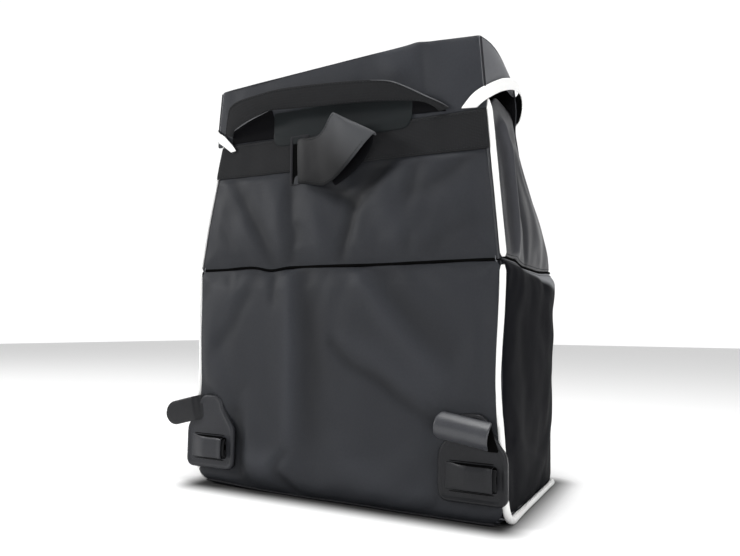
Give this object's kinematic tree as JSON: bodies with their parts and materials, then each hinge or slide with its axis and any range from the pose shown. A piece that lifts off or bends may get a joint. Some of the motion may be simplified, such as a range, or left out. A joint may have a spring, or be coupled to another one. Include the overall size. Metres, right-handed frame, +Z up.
{
  "type": "weekender rucksack",
  "caption": "Soft upright weekender bag with a flap lid, rear grab handle, hanging loop, moulded strap anchors, white piping and white corner straps.",
  "frame": {"origin": "centre of the flat base, on the floor", "axes": "+Z up, the rear face with the handle and strap anchors looks towards -Y, the closing side towards +Y, +X to the right as seen from the rear"},
  "size_m": [0.4582, 0.2822, 0.5272],
  "materials": {
    "shell_fabric": "coated woven polyester, satin",
    "side_fabric": "darker coated polyester, satin",
    "wing_fabric": "smooth grey coated cloth",
    "webbing_black": "ribbed black webbing",
    "binding_black": "woven binding tape",
    "piping_white": "white woven piping",
    "strap_white": "white fine webbing, black inside",
    "plate_black": "moulded, satin",
    "lining_grey": "thin plain cloth",
    "board": "flat sheet",
    "snap_metal": "brushed"
  },
  "bodies": {
    "bag": {"base_panel": "side_fabric", "base_board": "board", "rear_panel_lower": "shell_fabric", "rear_panel_upper": "shell_fabric", "rear_board": "board", "front_panel_lower": "shell_fabric", "front_panel_upper": "shell_fabric", "side_panel_left": "side_fabric", "side_panel_right": "side_fabric", "side_gusset_left": "side_fabric", "side_gusset_right": "side_fabric", "mid_seam_binding": "binding_black", "base_binding": "binding_black", "mouth_binding": "binding_black", "lining": "lining_grey", "webbing_band": "webbing_black", "piping_lower_left": "piping_white", "piping_lower_right": "piping_white", "piping_upper_left": "piping_white", "piping_upper_right": "piping_white", "loop_anchor": "webbing_black", "anchor_plate_left": "plate_black", "anchor_plate_right": "plate_black", "keeper_strap_left": "webbing_black", "keeper_strap_right": "webbing_black", "snap_sockets": "snap_metal"},
    "lid": {"lid_rear_panel": "shell_fabric", "lid_top_panel": "shell_fabric", "lid_front_flap": "shell_fabric", "lid_wing_left": "wing_fabric", "lid_wing_right": "wing_fabric", "lid_board": "board", "lid_piping_left": "binding_black", "lid_piping_right": "binding_black", "flap_hem_binding": "binding_black", "handle_patch": "webbing_black", "corner_strap_left": "strap_white", "corner_strap_right": "strap_white", "snap_studs": "snap_metal"},
    "handle": {"carry_handle": "webbing_black"},
    "hanging_loop": {"centre_loop": "webbing_black"},
    "tongue_left": {"tongue_left": "plate_black"},
    "tongue_right": {"tongue_right": "plate_black"}
  },
  "joints": [
    {"name": "lid_hinge", "type": "hinge", "parent": "bag", "child": "lid", "pos_m": [0, -0.115, 0.4374], "axis": [1, 0, 0], "range_deg": [0, 54]},
    {"name": "handle_swing", "type": "hinge", "parent": "lid", "child": "handle", "pos_m": [0, -0.12, 0.441], "axis": [1, 0, 0], "range_deg": [-14, 20]},
    {"name": "loop_swing", "type": "hinge", "parent": "bag", "child": "hanging_loop", "pos_m": [-0.055, -0.121, 0.401], "axis": [0, 0, 1], "range_deg": [-50, 0]},
    {"name": "tongue_left_swing", "type": "hinge", "parent": "bag", "child": "tongue_left", "pos_m": [-0.196, -0.125, 0.1], "axis": [0, 0, 1], "range_deg": [-10, 60]},
    {"name": "tongue_right_swing", "type": "hinge", "parent": "bag", "child": "tongue_right", "pos_m": [0.187, -0.125, 0.096], "axis": [0, 0, 1], "range_deg": [0, 60]}
  ]
}
